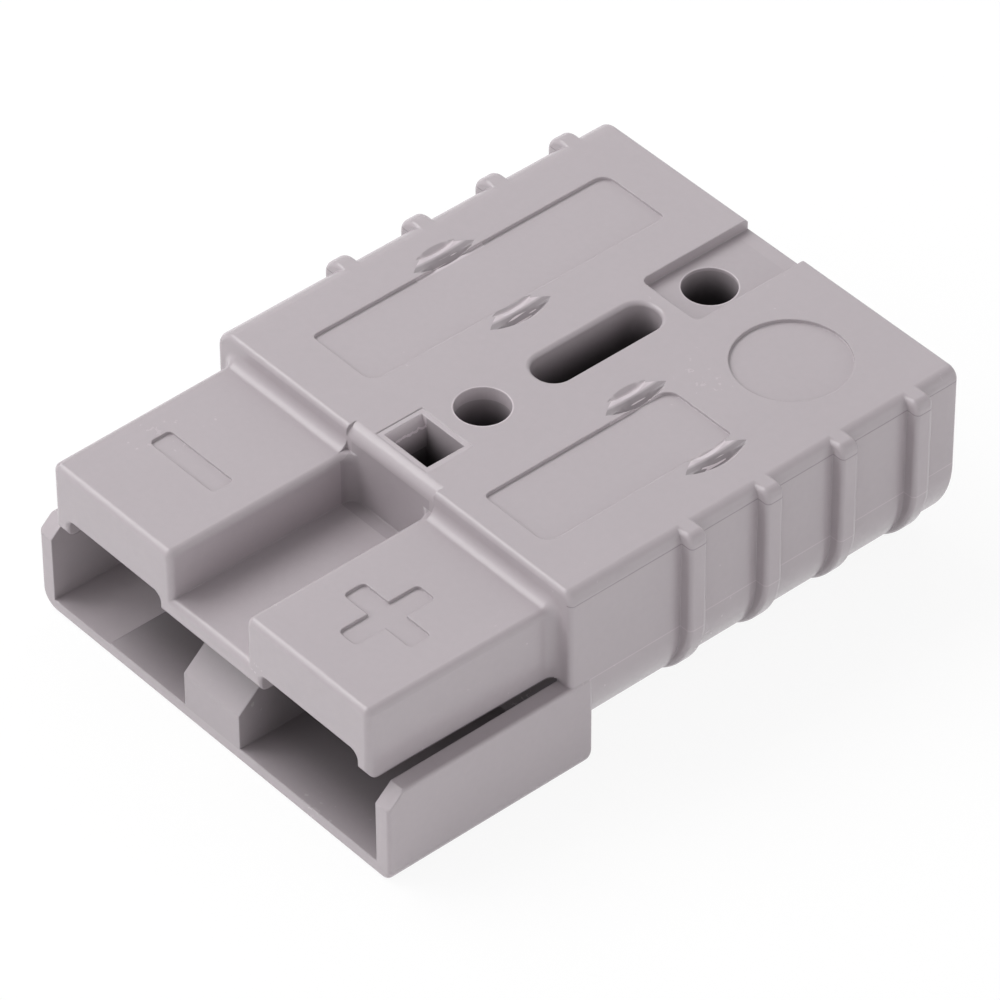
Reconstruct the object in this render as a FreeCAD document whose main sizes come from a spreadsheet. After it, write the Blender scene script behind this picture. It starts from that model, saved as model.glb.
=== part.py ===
# Genderless two-pole power connector, 50 A class: housing, two contacts, two contact springs.
# Millimetres. X runs across the two poles, minus at -X and plus at +X. Y runs from the mating face to the
# cable end and Z up. The origin is the middle of the footprint, on the surface that the connector lies on.
import FreeCAD, Part
import math
import os
import re

import Sketcher

# Driving dimensions. Lengths along Y are measured from the mating face, heights from the underside.
SIZES = {
    # Body
    "length": 48.1,
    "body_width": 34.6,
    "height": 15.0,
    "body_front": 15.0,
    "body_top_radius": 0.85,
    "minus_top_radius": 1.55,
    "body_front_radius": 0.4,
    "belly_radius": 6.8,
    "body_rear_radius": 0.3,
    # Channel that takes the mate's hoods
    "channel_proud": 0.16,
    "channel_wall": 1.27,
    "channel_clearance": 0.25,
    "channel_overlap": 1.85,
    "channel_floor": 1.1,
    "channel_radius": 0.8,
    "channel_minus_radius": 1.4,
    "channel_front_radius": 0.3,
    "channel_rear_radius": 1.2,
    "channel_rear_dip": 0.06,
    "channel_rear_edge": 0.3,
    "channel_rim_radius": 0.25,
    "block_width": 5.46,
    "block_clearance": 2.0,
    "block_nose_drop": 1.63,
    "wall_nose_drop": 1.15,
    "lead_in_angle": 42.0,
    "floor_step": 0.12,
    "floor_step_place": 10.4,
    # Hoods over the contacts and the bridge between them
    "hood_inset": 1.75,
    "hood_draft": 0.2,
    "hood_gap": 7.46,
    "hood_rise": 5.65,
    "hood_radius": 0.55,
    "hood_front_radius": 0.5,
    "hood_leg": 1.25,
    "hood_roof": 2.2,
    "lip_rise": 1.5,
    "lip_depth": 1.4,
    "lip_radius": 0.3,
    "mouth_radius": 0.8,
    "mouth_corner": 0.6,
    "bridge_rise": 1.82,
    "bridge_front_radius": 0.5,
    "junction_radius": 0.85,
    "notch_width": 8.5,
    "notch_radius": 0.95,
    # Grip ribs
    "rib_height": 0.95,
    "rib_width": 1.45,
    "rib_start": 9.95,
    "rib_stagger": 0.55,
    "rib_end": 3.8,
    "rib_count": 4,
    "rib_radius": 0.35,
    "rib_top_radius": 0.7,
    "minus_rib_radius": 1.4,
    "rib_belly_radius": 6.7,
    "rib_low": 0.8,
    "rib_root": 0.6,
    # Through holes, slot and window
    "screw_hole": 3.8,
    "screw_start": 7.75,
    "screw_end": 5.85,
    "slot_width": 3.0,
    "slot_length": 10.2,
    "slot_radius": 1.4,
    "slot_shift": 0.1,
    "slot_rim": 0.32,
    "window_width": 4.2,
    "window_length": 3.1,
    "window_start": 2.85,
    "window_depth": 9.0,
    "window_frame": 0.38,
    "window_frame_depth": 0.05,
    "window_ramp": 0.45,
    # Shallow recesses of the top face
    "panel_depth": 0.22,
    "panel_radius": 1.0,
    "panel_tight_radius": 0.4,
    "panel_width": 6.0,
    "panel_centre": 9.5,
    "long_panel_start": 4.0,
    "long_panel_end": 3.9,
    "short_panel_start": 2.2,
    "short_panel_end": 15.2,
    "disc_diameter": 8.1,
    "disc_end": 7.5,
    "rear_recess_width": 5.5,
    "rear_recess_length": 9.45,
    "rear_recess_depth": 0.8,
    "rear_recess_radius": 0.6,
    "sign_span": 6.5,
    "sign_arm": 1.72,
    "sign_place": 6.75,
    "sign_shift": 0.18,
    "sign_depth": 0.2,
    "sign_radius": 0.4,
    # Eye-shaped dimples of the top face
    "dimple_inner": 5.6,
    "dimple_outer": 13.2,
    "dimple_shift": 1.85,
    "dimple_rise": 0.2,
    "lens_length": 5.6,
    "lens_left": -1.1,
    "lens_bottom": 0.2,
    "lens_right": 1.05,
    "lens_depth": 0.3,
    "facet_length": 3.4,
    "facet_left": -1.05,
    "facet_bottom": -0.68,
    "facet_right": 0.2,
    "facet_depth": 0.3,
    "trough_length": 4.6,
    "trough_left": -0.45,
    "trough_bottom": 0.45,
    "trough_right": 1.0,
    "trough_depth": 0.65,
    # Cavities for the contacts and cables
    "pole_inset": 5.95,
    "barrel_bore": 9.6,
    "barrel_bore_start": 6.0,
    "cable_bore": 10.5,
    "cable_bore_clearance": 0.6,
    "entry_radius": 0.5,
    # Contact
    "blade_width": 8.4,
    "blade_thickness": 1.6,
    "blade_front": 2.3,
    "blade_end": 8.0,
    "nose_rise": 2.8,
    "nose_thickness": 1.3,
    "nose_radius": 0.4,
    "crimp_outer": 8.0,
    "crimp_inner": 6.4,
    "crimp_length": 12.5,
    "crimp_overlap": 0.5,
    "crimp_wall": 1.5,
    "inspection_shift": 2.6,
    "nose_bend": 1.2,
    "inspection_hole": 2.0,
    # Contact spring
    "spring_width": 6.2,
    "spring_thickness": 0.4,
    "spring_tip_gap": 0.3,
    "spring_tip_length": 1.6,
    "spring_end": 5.0,
    "spring_seat_length": 6.0,
    # How far the outline of a cut runs past the solid
    "overrun": 1.0,
}

# Places that follow from the driving dimensions. A mate turned over meets this one at the mating plane.
DERIVED = {
    "channel_width": "body_width + channel_proud",
    "hood_span": "body_width - 2 * hood_inset",
    "pole_pitch": "hood_span - 2 * pole_inset",
    "mating_plane": "height / 2",
    "channel_height": "mating_plane - channel_clearance",
    "channel_length": "body_front + channel_overlap",
    "block_height": "mating_plane - block_clearance",
    "block_nose": "block_height - block_nose_drop",
    "wall_nose": "channel_height - wall_nose_drop",
    "hood_top": "mating_plane + hood_rise",
    "bridge_top": "mating_plane + bridge_rise",
    "lip_height": "mating_plane + lip_rise",
    "chamber_roof": "hood_top - hood_roof",
    "rib_first": "body_front + rib_start",
    "rib_pitch": "(length - rib_end - rib_first) / (rib_count - 1)",
    "screw_first": "body_front + screw_start",
    "screw_last": "length - screw_end",
    "slot_place": "(screw_first + screw_last) / 2 - slot_shift",
    "window_place": "body_front + window_start",
    "dimple_place": "(screw_first + screw_last) / 2 - dimple_shift",
    "disc_place": "length - disc_end",
    "bore_start": "body_front + barrel_bore_start",
    "blade_rear": "body_front + blade_end",
    "barrel_end": "blade_rear - crimp_overlap + crimp_length",
    "cable_bore_start": "barrel_end + cable_bore_clearance",
    "nose_height": "mating_plane + nose_rise",
    "spring_rear": "body_front + spring_end",
}

doc = FreeCAD.newDocument("power_connector")
sheet = doc.addObject("Spreadsheet::Sheet", "Sizes")
for row, (alias, value) in enumerate([*SIZES.items(), *DERIVED.items()], start=1):
    sheet.set(f"A{row}", alias)
    sheet.set(f"B{row}", f"={value}" if alias in DERIVED else str(value))
    sheet.setAlias(f"B{row}", alias)
doc.recompute()


def bind(formula):
    """Formula in aliases, rewritten so that each alias is read from the sheet."""
    def read(word):
        alias = word.group()
        return f"Sizes.{alias}" if alias in SIZES or alias in DERIVED else alias
    return re.sub(r"[a-z_]+", read, str(formula))


def number(formula):
    """Present value of a formula in aliases."""
    value = sheet.evalExpression(bind(formula))
    return float(getattr(value, "Value", value))


def new_body(name):
    """Body whose mating face lies half the length in front of the origin."""
    body = doc.addObject("PartDesign::Body", name)
    body.Label = name
    body.setExpression("Placement.Base.y", bind("-length / 2"))
    return body


def new_sketch(body, name, plane, start="0"):
    """Sketch on one of the body's origin planes. On XZ the start is a distance along +Y."""
    sketch = body.newObject("Sketcher::SketchObject", name)
    origin_plane = [one for one in body.Origin.OriginFeatures if one.Role == plane][0]
    sketch.AttachmentSupport = (origin_plane, "")
    sketch.MapMode = "FlatFace"
    sign = "-" if plane == "XZ_Plane" else ""
    sketch.setExpression("AttachmentOffset.Base.z", bind(f"{sign}({start})"))
    return sketch


def hold_point(sketch, line, end, across, up):
    """Ties one end of a line to its place in the sketch."""
    for kind, formula in (("DistanceX", across), ("DistanceY", up)):
        index = sketch.addConstraint(Sketcher.Constraint(kind, -1, 1, line, end, number(formula)))
        sketch.setExpression(f"Constraints[{index}]", bind(formula))


def add_outline(sketch, corners):
    """Closed outline of straight sides. A corner is (across, up) or (across, up, radius)."""
    count = len(corners)
    places = [FreeCAD.Vector(number(corner[0]), number(corner[1]), 0) for corner in corners]
    ends = []
    for index, corner in enumerate(corners):
        before = places[index - 1] - places[index]
        after = places[(index + 1) % count] - places[index]
        radius = corner[2] if len(corner) > 2 else None
        if radius is None:
            ends.append([(corner[0], corner[1])])
            continue
        pair = []
        for way in (before, after):
            way = way.normalize()
            pair.append((f"({corner[0]}) + {round(way.x)} * ({radius})",
                         f"({corner[1]}) + {round(way.y)} * ({radius})"))
        ends.append(pair)
    lines = []
    for index in range(count):
        first = ends[index][-1]
        second = ends[(index + 1) % count][0]
        line = Part.LineSegment(FreeCAD.Vector(number(first[0]), number(first[1]), 0),
                                FreeCAD.Vector(number(second[0]), number(second[1]), 0))
        lines.append(sketch.addGeometry(line))
    for index in range(count):
        line = lines[index]
        previous = lines[index - 1]
        hold_point(sketch, line, 1, *ends[index][-1])
        if len(ends[index]) == 1:
            sketch.addConstraint(Sketcher.Constraint("Coincident", previous, 2, line, 1))
            continue
        hold_point(sketch, previous, 2, *ends[index][0])
        radius = number(corners[index][2])
        tangent_in = FreeCAD.Vector(number(ends[index][0][0]), number(ends[index][0][1]), 0)
        tangent_out = FreeCAD.Vector(number(ends[index][-1][0]), number(ends[index][-1][1]), 0)
        centre = tangent_in + tangent_out - places[index]
        middle = centre + (places[index] - centre).normalize() * radius
        arc = sketch.addGeometry(Part.Arc(tangent_in, middle, tangent_out))
        gaps = [sketch.getPoint(arc, end).distanceToPoint(tangent_in) for end in (1, 2)]
        in_end, out_end = (1, 2) if gaps[0] < gaps[1] else (2, 1)
        sketch.addConstraint(Sketcher.Constraint("Coincident", arc, in_end, previous, 2))
        sketch.addConstraint(Sketcher.Constraint("Coincident", arc, out_end, line, 1))
        held = sketch.addConstraint(Sketcher.Constraint("Radius", arc, radius))
        sketch.setExpression(f"Constraints[{held}]", bind(corners[index][2]))


def add_circle(sketch, across, up, diameter):
    """Circle whose centre and diameter follow the sheet."""
    circle = sketch.addGeometry(Part.Circle(FreeCAD.Vector(number(across), number(up), 0),
                                            FreeCAD.Vector(0, 0, 1), number(diameter) / 2))
    hold_point(sketch, circle, 3, across, up)
    held = sketch.addConstraint(Sketcher.Constraint("Diameter", circle, number(diameter)))
    sketch.setExpression(f"Constraints[{held}]", bind(diameter))


def grow(body, kind, name, sketch, length, backwards=False, midplane=False):
    """Pad or pocket of a sketch. Backwards, a pad on XZ runs towards +Y and a pocket on XY upwards."""
    feature = body.newObject(f"PartDesign::{kind}", name)
    feature.Profile = sketch
    feature.setExpression("Length", bind(length))
    feature.Reversed = backwards
    feature.Midplane = midplane
    feature.Refine = False
    doc.recompute()
    return feature


def turn(body, kind, name, sketch, axis="H_Axis"):
    """Revolution or groove of a sketch about one of its own axes."""
    feature = body.newObject(f"PartDesign::{kind}", name)
    feature.Profile = sketch
    feature.ReferenceAxis = (sketch, [axis])
    feature.Angle = 360
    feature.Refine = False
    doc.recompute()
    return feature


def round_edges(body, name, radius, wanted):
    """Fillet of the edges of the body's present shape that the test picks."""
    base = body.Tip
    edges = [f"Edge{index}" for index, edge in enumerate(base.Shape.Edges, start=1) if wanted(edge)]
    if not edges:
        raise ValueError(f"{name}: no edge to round")
    fillet = body.newObject("PartDesign::Fillet", name)
    fillet.Base = (base, edges)
    fillet.setExpression("Radius", bind(radius))
    doc.recompute()
    return fillet


def lies(edge, **limits):
    """True where the whole edge lies within the limits, given as x, y or z = (low, high)."""
    box = edge.BoundBox
    slack = 0.01
    spans = {"x": (box.XMin, box.XMax), "y": (box.YMin, box.YMax), "z": (box.ZMin, box.ZMax)}
    return all(spans[axis][0] >= low - slack and spans[axis][1] <= high + slack
               for axis, (low, high) in limits.items())


def add_channel(body):
    """U-shaped channel as a solid bar, with its rounded outside edges."""
    sketch = new_sketch(body, "channel_outline", "XZ_Plane")
    half = "channel_width / 2"
    add_outline(sketch, [(f"-{half}", 0, "channel_minus_radius"), (half, 0, "channel_radius"),
                         (half, "channel_height", "channel_rim_radius"),
                         (f"-{half}", "channel_height", "channel_rim_radius")])
    grow(body, "Pad", "channel_bar", sketch, "channel_length", backwards=True)
    above = "2 * channel_rear_radius"
    ahead = f"channel_length - {above}"
    behind = "channel_length + overrun"
    low = "-channel_rear_dip"
    cut_profile(body, "channel_rear_round", [
        (ahead, low), ("channel_length", low, "channel_rear_radius"), ("channel_length", above),
        (behind, above), (behind, "-overrun"), (ahead, "-overrun")], "channel_width + overrun")
    inner = number("channel_width / 2 - channel_rim_radius")
    rear = number("channel_length")
    round_edges(body, "channel_rear_edges", "channel_rear_edge",
                lambda edge: lies(edge, y=(rear, rear)) and abs(edge.CenterOfMass.x) > inner)
    round_edges(body, "channel_front_edges", "channel_front_radius",
                lambda edge: lies(edge, y=(0, 0), z=(0, number("channel_height - channel_rim_radius"))))


def add_body(body):
    """Body behind the channel: flat top, sides that curve under into the belly."""
    sketch = new_sketch(body, "body_outline", "XZ_Plane", "body_front")
    half = "body_width / 2"
    add_outline(sketch, [(f"-{half}", 0, "belly_radius"), (half, 0, "belly_radius"),
                         (half, "height", "body_top_radius"), (f"-{half}", "height", "minus_top_radius")])
    grow(body, "Pad", "body_bar", sketch, "length - body_front", backwards=True)
    rear = number("length")
    round_edges(body, "body_rear_edges", "body_rear_radius", lambda edge: lies(edge, y=(rear, rear)))


def add_hoods(body):
    """Bar of both hoods and the bridge, before the gap between the hoods is cut."""
    sketch = new_sketch(body, "hood_outline", "XZ_Plane")
    front = "hood_span / 2"
    root = f"({front} + hood_draft)"
    add_outline(sketch, rectangle(f"-{root}", root, "mating_plane", "hood_top"))
    grow(body, "Pad", "hood_bar", sketch, "body_front", backwards=True)
    for side, name in (("", "plus"), ("-", "minus")):
        cut_top(body, f"{name}_hood_draft", [[
            (f"{side}{front}", "0"), (f"{side}{root}", "body_front"),
            (f"{side}({root} + overrun)", "body_front"), (f"{side}({root} + overrun)", "-overrun"),
            (f"{side}{front}", "-overrun")]], "hood_top - mating_plane", "hood_top")
    top = number("hood_top")
    side = number(front)
    round_edges(body, "hood_side_edges", "hood_radius",
                lambda edge: lies(edge, y=(0, number("body_front")), z=(top, top))
                and abs(edge.CenterOfMass.x) > side and edge.Length > side / 2)


def cut_profile(body, name, corners, width, centre="0"):
    """Cuts a YZ outline right across a width, half to each side of the centre."""
    sketch = new_sketch(body, f"{name}_outline", "YZ_Plane", centre)
    add_outline(sketch, corners)
    return grow(body, "Pocket", name, sketch, width, midplane=True)


def cut_front(body, name, outlines, start, depth):
    """Cuts XZ outlines from a start along +Y."""
    sketch = new_sketch(body, f"{name}_outline", "XZ_Plane", start)
    for corners in outlines:
        add_outline(sketch, corners)
    return grow(body, "Pocket", name, sketch, depth)


def cut_top(body, name, outlines, depth, level="height"):
    """Cuts XY outlines down from a level."""
    sketch = new_sketch(body, f"{name}_outline", "XY_Plane", level)
    for corners in outlines:
        add_outline(sketch, corners)
    return grow(body, "Pocket", name, sketch, depth)


def rectangle(left, right, low, high, radius=None):
    """Corners of a rectangle, rounded where a radius is given."""
    corners = [(left, low), (right, low), (right, high), (left, high)]
    return [corner if radius is None else (*corner, radius) for corner in corners]


def shape_hoods(body):
    """Cuts the gap between the hoods down to the bridge, then rounds the hoods and the body's front."""
    half = "hood_gap / 2"
    side = f"{half} + 2 * hood_radius"
    cut_front(body, "hood_gap_cut", [[
        (f"-({side})", "height + overrun"), (f"-({side})", "hood_top"),
        (f"-{half}", "hood_top", "hood_radius"), (f"-{half}", "bridge_top"),
        (half, "bridge_top"), (half, "hood_top", "hood_radius"),
        (side, "hood_top"), (side, "height + overrun")]], "0", "body_front")
    bridge = number("bridge_top")
    gap = number("hood_gap")
    under = number("mating_plane")
    top = number("height")
    front = number("body_front")
    hood_side = number("hood_span / 2 + hood_draft")
    round_edges(body, "hood_front_edges", "hood_front_radius",
                lambda edge: lies(edge, y=(0, 0), z=(under, top)) and not lies(edge, z=(under, under))
                and not lies(edge, z=(bridge, bridge)))
    round_edges(body, "bridge_front_edge", "bridge_front_radius",
                lambda edge: lies(edge, y=(0, 0), z=(bridge, bridge)) and edge.Length > gap / 2)
    round_edges(body, "body_front_edges", "body_front_radius",
                lambda edge: lies(edge, y=(front, front), z=(under - 1, top))
                and abs(edge.CenterOfMass.x) + edge.CenterOfMass.z > hood_side + number("hood_top"))
    round_edges(body, "junction_edges", "junction_radius",
                lambda edge: lies(edge, y=(front, front), z=(bridge - 2, number("hood_top")))
                and not lies(edge, z=(bridge, bridge)) and not lies(edge, z=(under, under)))
    behind = "body_front + 2 * notch_radius"
    cut_profile(body, "notch_round", [
        ("body_front - overrun", "hood_top"), ("body_front", "hood_top"),
        ("body_front", "height", "notch_radius"), (behind, "height"), (behind, "height + overrun"),
        ("body_front - overrun", "height + overrun")], "notch_width")


def hollow_mouth(body):
    """Cuts the mating cavity under the hoods, its lead-in slopes and the contact chambers in the hoods."""
    under = "mating_plane"
    wall = "(channel_width / 2 - channel_wall)"
    block = "block_width / 2"
    cut_front(body, "mating_cavity", [[
        (f"-{wall}", "channel_floor"), (f"-{block}", "channel_floor"), (f"-{block}", "block_height"),
        (block, "block_height"), (block, "channel_floor"), (wall, "channel_floor"),
        (wall, under), (f"-{wall}", under)]], "0", "body_front")
    cut_front(body, "floor_step_cut", [rectangle(
        f"-{wall}", "-floor_step_place", "channel_floor - floor_step", "channel_floor")], "0", "body_front")
    for name, nose, top, width in (("block_lead_in", "block_nose", "block_height", "block_width"),
                                   ("wall_lead_in", "wall_nose", "channel_height",
                                    "channel_width + overrun")):
        back = f"({top} - {nose}) / tan(lead_in_angle * 1 deg)"
        cut_profile(body, name, [("-overrun", nose), ("0", nose), (back, top), ("-overrun", top)], width)
    near = "hood_gap / 2 + hood_leg"
    far = "hood_span / 2 - hood_leg"
    poles = ((near, far), (f"-({far})", f"-({near})"))
    mouths = [[(left, under), (right, under), (right, "lip_height", "mouth_corner"),
               (left, "lip_height", "mouth_corner")] for left, right in poles]
    cut_front(body, "mouth_cut", mouths, "0", "body_front")
    lip = number("lip_height")
    near_side = number(near)
    far_side = number(far)
    round_edges(body, "lip_edges", "lip_radius",
                lambda edge: lies(edge, y=(0, 0), z=(number(under), lip)) and not
                lies(edge, z=(number(under), number(under)))
                and near_side - 0.01 < abs(edge.CenterOfMass.x) < far_side + 0.01)
    below = "mating_plane - channel_clearance / 2"
    above = "mating_plane + 1.2 * mouth_radius"
    cut_profile(body, "mouth_round", [
        ("-overrun", below), ("2 * mouth_radius", below), ("2 * mouth_radius", under),
        ("0", under, "mouth_radius"), ("0", above), ("-overrun", above)], "hood_span + hood_draft")
    chambers = [rectangle(left, right, under, "chamber_roof") for left, right in poles]
    cut_front(body, "contact_chambers", chambers, "lip_depth", "bore_start + overrun - lip_depth")


def cut_bores(body, name, start, end, diameter):
    """Two round bores, one for each pole, from a start to an end along +Y."""
    sketch = new_sketch(body, f"{name}_outline", "XZ_Plane", start)
    for side in ("-", ""):
        add_circle(sketch, f"{side}pole_pitch / 2", "mating_plane", diameter)
    grow(body, "Pocket", name, sketch, f"{end} - {start}")


def hollow_rear(body):
    """Cuts the narrow bores that take the crimp barrels and the wider bores that take the cables."""
    cut_bores(body, "barrel_bores", "bore_start", "cable_bore_start", "barrel_bore")
    cut_bores(body, "cable_bores", "cable_bore_start", "length", "cable_bore")
    rear = number("length")
    rim = number("cable_bore") * math.pi
    round_edges(body, "entry_rims", "entry_radius",
                lambda edge: lies(edge, y=(rear, rear)) and abs(edge.Length - rim) < 0.01)


def cut_through_holes(body):
    """Screw holes, long slot and the blind window, with their rims."""
    sketch = new_sketch(body, "screw_hole_outline", "XY_Plane", "height")
    for place in ("screw_first", "screw_last"):
        add_circle(sketch, "0", place, "screw_hole")
    grow(body, "Pocket", "screw_holes", sketch, "height")
    cut_top(body, "slot", [rectangle("-slot_width / 2", "slot_width / 2", "slot_place - slot_length / 2",
                                     "slot_place + slot_length / 2", "slot_radius")], "height")
    low = "window_place - window_length / 2"
    high = "window_place + window_length / 2"
    left = "-window_width / 2"
    cut_top(body, "window_frame_cut", [rectangle(
        f"{left} - window_frame", "window_width / 2 + window_frame", f"{low} - window_frame",
        f"{high} + window_frame")], "window_frame_depth")
    cut_top(body, "window", [rectangle(f"{left} + window_ramp", "window_width / 2", low, high)],
            "window_depth")
    cut_front(body, "window_ramp_cut", [[
        (left, "height"), (f"{left} + window_ramp", "height - 2 * window_ramp"),
        (f"{left} + 2 * window_ramp", "height - 2 * window_ramp"), (f"{left} + 2 * window_ramp", "height")]],
        low, "window_length")
    half_slot = number("slot_width / 2")
    slot_low = number("slot_place - slot_length / 2")
    slot_high = number("slot_place + slot_length / 2")
    top = number("height")
    for level in (0.0, top):
        round_edges(body, "slot_rim_top" if level else "slot_rim_under", "slot_rim",
                    lambda edge: lies(edge, z=(level, level), x=(-half_slot, half_slot),
                                      y=(slot_low, slot_high)))


def cut_top_recesses(body):
    """Shallow panels, disc, polarity signs and the recess round the rear screw hole."""
    near = "panel_centre - panel_width / 2"
    far = "panel_centre + panel_width / 2"
    sketch = new_sketch(body, "panel_outline", "XY_Plane", "height")
    for left, right, low, high in (
            (f"-({far})", f"-({near})", "body_front + long_panel_start", "length - long_panel_end"),
            (near, far, "body_front + short_panel_start", "length - short_panel_end")):
        add_outline(sketch, [(left, low, "panel_tight_radius"), (right, low, "panel_radius"),
                             (right, high, "panel_tight_radius"), (left, high, "panel_radius")])
    add_circle(sketch, "pole_pitch / 2", "disc_place", "disc_diameter")
    grow(body, "Pocket", "panels", sketch, "panel_depth")
    half = "rear_recess_width / 2"
    front = "length - rear_recess_length"
    cut_top(body, "rear_recess", [[
        (f"-{half}", front, "rear_recess_radius"), (half, front, "rear_recess_radius"),
        (half, "length + overrun"), (f"-{half}", "length + overrun")]], "rear_recess_depth")


def cut_signs(body):
    """Shallow minus and plus in the tops of the hoods."""
    middle = "(pole_pitch / 2 - sign_shift)"
    minus_middle = "(-pole_pitch / 2 - sign_shift)"
    span = "sign_span / 2"
    arm = "sign_arm / 2"
    minus = rectangle(f"{minus_middle} - {span}", f"{minus_middle} + {span}", f"sign_place - {arm}",
                      f"sign_place + {arm}", "sign_radius")
    plus = []
    for across, up in ((-1, -1), (1, -1), (1, 1), (-1, 1)):
        tip_across = f"{middle} + {across} * {span}"
        arm_across = f"{middle} + {across} * {arm}"
        tip_up = f"sign_place + {up} * {span}"
        arm_up = f"sign_place + {up} * {arm}"
        trio = [(tip_across, arm_up, "sign_radius"), (arm_across, arm_up),
                (arm_across, tip_up, "sign_radius")]
        plus += trio if across * up > 0 else trio[::-1]
    cut_top(body, "signs", [minus, plus], "sign_depth", "hood_top")


def cut_hollows(body, name):
    """Row of four V-shaped hollows, turned as one about an axis that runs across the body above its top."""
    sketch = new_sketch(body, f"{name}_row", "XZ_Plane", "dimple_place")
    depth = f"{name}_depth"
    bottom = f"{name}_bottom"
    level = "height + dimple_rise"
    for place in ("-dimple_outer", "-dimple_inner", "dimple_inner", "dimple_outer"):
        corners = [(f"{place} + {bottom}", f"height - {depth}")]
        for edge in (f"{name}_right", f"{name}_left"):
            corners.append((f"{place} + {edge} + ({edge} - {bottom}) * dimple_rise / {depth}", level))
        add_outline(sketch, corners)
    lift = f"height - {depth} + (({name}_length / 2) ^ 2 + {depth} ^ 2) / (2 * {depth})"
    axis = sketch.addGeometry(Part.LineSegment(FreeCAD.Vector(0, number(lift), 0),
                                               FreeCAD.Vector(1, number(lift), 0)), True)
    hold_point(sketch, axis, 1, "0", lift)
    hold_point(sketch, axis, 2, "1", lift)
    return turn(body, "Groove", name, sketch, "Axis0")


def cut_dimples(body):
    """Four eye-shaped dimples: in each lens lie a small facet and a deeper trough, with a crest between."""
    cut_hollows(body, "lens")
    cut_hollows(body, "facet")
    cut_hollows(body, "trough")


def make_ribs(name, side, first, top_radius, body_radius):
    """Grip ribs of one side as one body: a rib with its rounded nose, repeated along Y."""
    body = doc.addObject("PartDesign::Body", name)
    sketch = new_sketch(body, f"{name}_outline", "XZ_Plane", first)
    half = "body_width / 2"
    outer = f"{half} + rib_height"
    inner = f"{half} - rib_root"
    top_root = f"{inner} - {body_radius}"
    low_root = f"{outer} - rib_belly_radius - rib_root"
    low_inner = "rib_low + rib_height + rib_root"
    step = f"height - {body_radius} - rib_root"
    corners = [(outer, "rib_low", "rib_belly_radius"), (outer, "height", top_radius),
               (top_root, "height"), (top_root, step), (inner, step),
               (inner, low_inner, "rib_belly_radius - rib_height - rib_root"),
               (low_root, low_inner), (low_root, "rib_low")]
    add_outline(sketch, [(f"{side}({across})", *rest) for across, *rest in corners])
    grow(body, "Pad", f"{name}_first", sketch, "rib_width", midplane=True)
    faces = [number(f"{first} {sign} rib_width / 2") for sign in "-+"]
    buried = number(inner)

    def on_nose(edge):
        box = edge.BoundBox
        reach = max(abs(box.XMin), abs(box.XMax))
        return any(lies(edge, y=(face, face)) for face in faces) and (
            reach > buried + 0.01 and edge.CenterOfMass.z < number("height") - 0.01
            or lies(edge, z=(number("rib_low"), number("rib_low")))
            or lies(edge, z=(number("height"), number("height"))))
    round_edges(body, f"{name}_nose", "rib_radius", on_nose)
    pattern = body.newObject("PartDesign::LinearPattern", f"{name}_row")
    pattern.TransformMode = "Whole shape"
    y_axis = [one for one in body.Origin.OriginFeatures if one.Role == "Y_Axis"][0]
    pattern.Direction = (y_axis, [""])
    pattern.Mode = "Spacing"
    pattern.setExpression("Offset", bind("rib_pitch"))
    pattern.setExpression("Occurrences", bind("rib_count"))
    body.Tip = pattern
    doc.recompute()
    return body


def join_ribs(body):
    """Makes the ribs of both sides one with the moulding. The minus side's sit a little further back."""
    joined = body.newObject("PartDesign::Boolean", "ribs_joined")
    joined.Type = "Fuse"
    plus = make_ribs("plus_ribs", "", "rib_first", "rib_top_radius", "body_top_radius")
    minus = make_ribs("minus_ribs", "-", "rib_first + rib_stagger", "minus_rib_radius", "minus_top_radius")
    joined.setObjects([plus, minus])
    body.Tip = joined
    doc.recompute()


def make_housing():
    """One moulding: channel, body with its bores and recesses, grip ribs, and the two hoods."""
    body = new_body("housing")
    add_channel(body)
    add_body(body)
    add_hoods(body)
    shape_hoods(body)
    hollow_mouth(body)
    hollow_rear(body)
    cut_through_holes(body)
    cut_dimples(body)
    cut_top_recesses(body)
    cut_signs(body)
    join_ribs(body)
    return body


def make_contact(name, centre):
    """Contact of one pole: flat blade with an upturned nose, and a crimp barrel closed at its front."""
    body = new_body(name)
    sketch = new_sketch(body, f"{name}_outline", "YZ_Plane", centre)
    under = "mating_plane"
    top = f"{under} + blade_thickness"
    nose_rear = "blade_front + nose_thickness"
    add_outline(sketch, [
        ("blade_front", under, "nose_bend"), ("blade_rear", under), ("blade_rear", top),
        (nose_rear, top), (nose_rear, "nose_height", "nose_radius"),
        ("blade_front", "nose_height", "nose_radius")])
    grow(body, "Pad", f"{name}_blade", sketch, "blade_width", midplane=True)
    barrel = new_sketch(body, f"{name}_barrel_outline", "XZ_Plane", "blade_rear - crimp_overlap")
    add_circle(barrel, centre, under, "crimp_outer")
    grow(body, "Pad", f"{name}_barrel", barrel, "crimp_length", backwards=True)
    inside = new_sketch(body, f"{name}_inside_outline", "XZ_Plane", "blade_rear + crimp_wall")
    add_circle(inside, centre, under, "crimp_inner")
    grow(body, "Pocket", f"{name}_inside", inside, "crimp_length")
    hole = new_sketch(body, f"{name}_inspection_outline", "XY_Plane", under)
    add_circle(hole, centre, "blade_rear + inspection_shift", "inspection_hole")
    grow(body, "Pocket", f"{name}_inspection", hole, "crimp_outer", backwards=True)
    return body


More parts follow.
